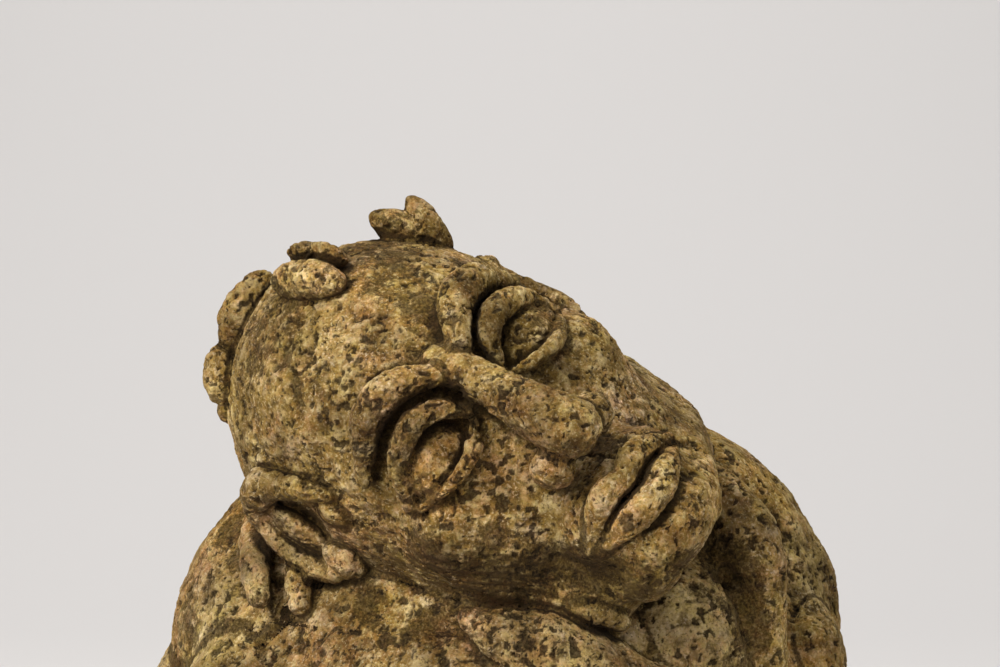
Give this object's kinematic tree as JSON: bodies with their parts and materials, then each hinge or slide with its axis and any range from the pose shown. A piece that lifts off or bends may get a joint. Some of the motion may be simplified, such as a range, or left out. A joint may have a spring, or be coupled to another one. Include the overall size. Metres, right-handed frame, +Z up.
{
  "type": "figural pot",
  "caption": "Hollow round-bellied stone pot modelled as a figure with a tilted head, coiled features, arms laid on the belly and a short mouth behind the head.",
  "frame": {"origin": "middle of the foot's underside, on the floor", "axes": "+Z up through the mouth's height, the figure faces -Y, +X is the figure's left"},
  "size_m": [0.357, 0.3772, 0.4162],
  "materials": {
    "stone": "rough, pitted, unglazed"
  },
  "bodies": {
    "root": {"base_slab": "stone", "belly_wall": "stone", "hair_knot_a": "stone", "hair_knot_b": "stone", "hair_knot_back_1": "stone", "hair_knot_back_2": "stone", "hair_knot_back_3": "stone", "hair_knot_back_4": "stone", "hair_knot_back_5": "stone", "hair_knot_c": "stone", "hair_knot_d": "stone", "head_shell": "stone", "left_brow": "stone", "left_ear": "stone", "left_elbow": "stone", "left_eye_mound": "stone", "left_hand": "stone", "left_lower_lid": "stone", "left_nostril": "stone", "left_shoulder": "stone", "left_shoulder_roll": "stone", "left_thumb": "stone", "left_upper_arm": "stone", "left_upper_lid": "stone", "lower_lip": "stone", "lower_wall": "stone", "mouth_lip": "stone", "mouth_neck": "stone", "nose": "stone", "plait_inner": "stone", "plait_outer": "stone", "right_brow": "stone", "right_ear": "stone", "right_eye_mound": "stone", "right_forearm": "stone", "right_hand": "stone", "right_lower_lid": "stone", "right_nostril": "stone", "right_shoulder": "stone", "right_upper_arm": "stone", "right_upper_lid": "stone", "shoulder_dome": "stone", "upper_lip": "stone", "upper_wall": "stone"}
  },
  "joints": []
}
